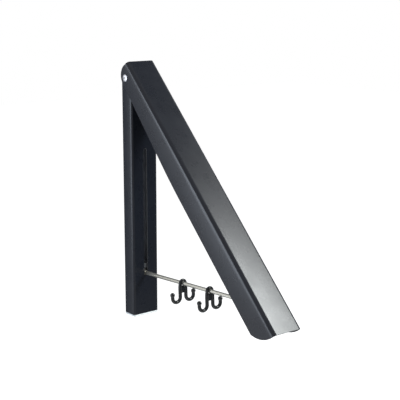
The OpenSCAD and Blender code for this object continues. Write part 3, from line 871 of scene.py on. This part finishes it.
# Node, body, slot and edge rounding in millimetres of each small piece
FITTINGS = (
    ("bottom_cap", "base", "cap_plastic", 0.5),
    ("upper_wall_bracket", "base", "zinc_steel", 0.2),
    ("lower_wall_bracket", "base", "zinc_steel", 0.2),
    ("track_left", "base", "slider_nylon", 0.2),
    ("track_right", "base", "slider_nylon", 0.2),
    ("hinge_sleeve", "base", "zinc_steel", 0.12),
    ("washer_left", "base", "nylon", 0.08),
    ("washer_right", "base", "nylon", 0.08),
    ("pivot_bracket", "arm", "zinc_steel", 0.15),
    ("rod_pivot_pin", "arm", "rivet_steel", 0.25),
    ("pivot_spacers", "arm", "nylon", 0.15),
    ("trunnion_pin", "rod", "zinc_steel", 0.2),
    ("trunnion_spacers", "rod", "nylon", 0.15),
    ("slider_block", "slider", "slider_nylon", 0.35),
)


class VALET_OT_fittings(bpy.types.Operator):
    """Make the cap, brackets, tracks, sleeve, washers, pins, spacers and slider with softened edges"""
    bl_idname = "valet.fittings"
    bl_label = "Fittings"
    bl_options = {"REGISTER", "UNDO"}

    def execute(self, context):
        scene = settings_of(context, *[row[0] for row in FITTINGS])
        look = scene.valet_finish
        finishes = {
            "zinc_steel": zinc_plate("zinc_plate_blue", look.zinc),
            "rivet_steel": turned_steel("pin_steel_bright", look.rivet),
            "nylon": moulded_plastic("natural_nylon", look.nylon, 0.45, subsurface=0.15),
            "cap_plastic": moulded_plastic("milky_cap_plastic", look.cap, 0.35, depth=0.004, subsurface=0.3),
            "slider_nylon": moulded_plastic("dark_track_nylon_and_painted_shade", look.track, 0.42),
            "slider_block": moulded_plastic("black_slider_nylon", look.slider, 0.42),
        }
        for node, body, slot, width in FITTINGS:
            piece = merged_copy(node + "_body", node)
            soften(piece, width * MM, angle=40.0, below=BASE_LOW.z - OVERRUN if node == "bottom_cap" else None)
            dress(piece, body, finishes.get(node, finishes[slot]), [node])
        return {"FINISHED"}


# Distance, width and height of each flag
FLAGS = (
    ("front", 1.5, 1.0, 1.1),
    ("side", 1.7, 0.5, 1.1),
    ("top", 1.5, 0.8, 0.5),
    ("right", 1.5, 1.1, 1.1),
    ("low", 0.8, 0.9, 0.5),
    ("back", 1.6, 1.1, 1.1),
)


class VALET_OT_stage(bpy.types.Operator):
    """Make the pale floor, the white surroundings, the lamps, the flags and the camera"""
    bl_idname = "valet.stage"
    bl_label = "Stage"
    bl_options = {"REGISTER", "UNDO"}

    def lamp(self, name, aim, place, size, energy, colour=(1, 1, 1)):
        """Area lamp that looks at a point."""
        back = towards(*place)
        data = bpy.data.lights.new(name, "AREA")
        data.shape, data.size, data.size_y = "RECTANGLE", size[0], size[1]
        data.energy, data.color = energy, colour
        lamp = linked(name, data)
        lamp.visible_camera = False
        lamp.location = aim + back * LAMP_AWAY
        lamp.rotation_euler = (-back).to_track_quat("-Z", "Y").to_euler()

    def flag(self, name, place, away, wide, tall, colour):
        """Card that only reflections see, as a studio uses to keep dark paint dark."""
        back = towards(*place)
        card = prism(name, centred(wide, tall), "Z", -CARD_THICKNESS / 2, CARD_THICKNESS / 2)
        turned = back.to_track_quat("Z", "Y").to_matrix().to_4x4()
        card.data.transform(Matrix.Translation(MIDDLE + back * away) @ turned)
        cloth = Finish(name + "_cloth")
        cloth.set(Roughness=0.9, Specular_IOR_Level=0.1)
        cloth.blend(cloth.noise(8.0), shade(colour, 0.95), shade(colour, 1.05))
        card.data.materials.append(cloth.material)
        card.visible_camera = card.visible_diffuse = card.visible_shadow = card.visible_transmission = False

    def floor(self, size):
        """Sheet of paper, lifted to the white of the surroundings where it is seen, with its shadows left on."""
        floor = prism("pale_floor", centred(size.floor_size, size.floor_size), "Z",
                      -size.floor_drop - FLOOR_THICKNESS, -size.floor_drop)
        paper = Finish("white_paper_floor")
        paper.set(Roughness=0.9, Specular_IOR_Level=0.1)
        paper.blend(paper.noise(3.0), (0.9, 0.9, 0.9), (0.93, 0.93, 0.93))
        glow, both = paper.add("ShaderNodeEmission"), paper.add("ShaderNodeAddShader")
        paper.link(maths(paper.tree, "MULTIPLY", seen(paper.tree), size.floor_lift), glow.inputs["Strength"])
        paper.link(paper.shader.outputs[0], both.inputs[0])
        paper.link(glow.outputs[0], both.inputs[1])
        paper.link(both.outputs[0], paper.tree.nodes["Material Output"].inputs["Surface"])
        floor.data.materials.append(paper.material)

    def surroundings(self, ambient):
        """White world, full where it is seen and dimmer as light."""
        world = bpy.data.worlds.new("White surroundings")
        bpy.context.scene.world = world
        world.use_nodes = True
        tree = world.node_tree
        tree.nodes.clear()
        out, mix = tree.nodes.new("ShaderNodeOutputWorld"), tree.nodes.new("ShaderNodeMixShader")
        tree.links.new(seen(tree), mix.inputs["Fac"])
        for slot, strength in ((1, ambient), (2, 1.0)):
            white = tree.nodes.new("ShaderNodeBackground")
            white.inputs["Color"].default_value = (1, 1, 1, 1)
            white.inputs["Strength"].default_value = strength
            tree.links.new(white.outputs[0], mix.inputs[slot])
        tree.links.new(mix.outputs[0], out.inputs["Surface"])

    def camera(self, size):
        """Camera of the photo."""
        turn, rise = size.camera_place
        back, right = towards(turn, rise), Vector((math.cos(turn), math.sin(turn), 0))
        up = back.cross(right)
        data = bpy.data.cameras.new("photo_camera")
        data.lens, data.sensor_width, data.clip_start, data.clip_end = size.lens, 36.0, 0.05, 60.0
        camera = linked("photo_camera", data)
        camera.location = LOOK_AT + back * size.camera_away + right * CAMERA_SHIFT[0] + up * CAMERA_SHIFT[1]
        camera.rotation_euler = Matrix((right, up, back)).transposed().to_euler()
        return camera

    def execute(self, context):
        scene = context.scene
        size = scene.valet_stage
        self.floor(size)
        self.surroundings(size.ambient)
        low_end = Vector((0, ARM_LOW.y, ARM_LOW.z))
        self.lamp("key_lamp", low_end, size.key_place, (0.45, 0.45), size.key, size.key_tint)
        self.lamp("skirt_lamp", MIDDLE, size.skirt_place, (0.55, 0.4), size.skirt)
        self.lamp("strip_lamp", MIDDLE, size.strip_place, (0.8, 0.95), size.strip, size.strip_tint)
        for name, away, wide, tall in FLAGS:
            colour = size.low_flag if name == "low" else size.flag
            self.flag(name + "_flag", getattr(size, name + "_place"), away, wide, tall, colour)
        scene.camera = self.camera(size)
        scene.view_settings.view_transform = "Standard"
        return {"FINISHED"}


class VALET_PT_panel(bpy.types.Panel):
    """Lists the valet's sizes, finishes and pieces in the sidebar"""
    bl_label = "Clothes valet"
    bl_idname = "VALET_PT_panel"
    bl_space_type = "VIEW_3D"
    bl_region_type = "UI"
    bl_category = "Valet"

    def draw(self, context):
        for operator in OPERATORS:
            self.layout.operator(operator.bl_idname)
        for name, kind in SETTINGS.items():
            box = self.layout.box()
            for key in kind.__annotations__:
                box.prop(getattr(context.scene, name), key)


OPERATORS = (VALET_OT_stage, VALET_OT_base, VALET_OT_arm, VALET_OT_rivet, VALET_OT_rod, VALET_OT_hooks,
             VALET_OT_fittings)


def register():
    for kind in (*SETTINGS.values(), *OPERATORS, VALET_PT_panel):
        bpy.utils.register_class(kind)
    for name, kind in SETTINGS.items():
        setattr(bpy.types.Scene, name, PointerProperty(type=kind))


def unregister():
    for name in SETTINGS:
        delattr(bpy.types.Scene, name)
    for kind in reversed((*SETTINGS.values(), *OPERATORS, VALET_PT_panel)):
        bpy.utils.unregister_class(kind)


def main():
    register()
    for operator in OPERATORS:
        group, name = operator.bl_idname.split(".")
        getattr(getattr(bpy.ops, group), name)()


if __name__ == "__main__":
    main()
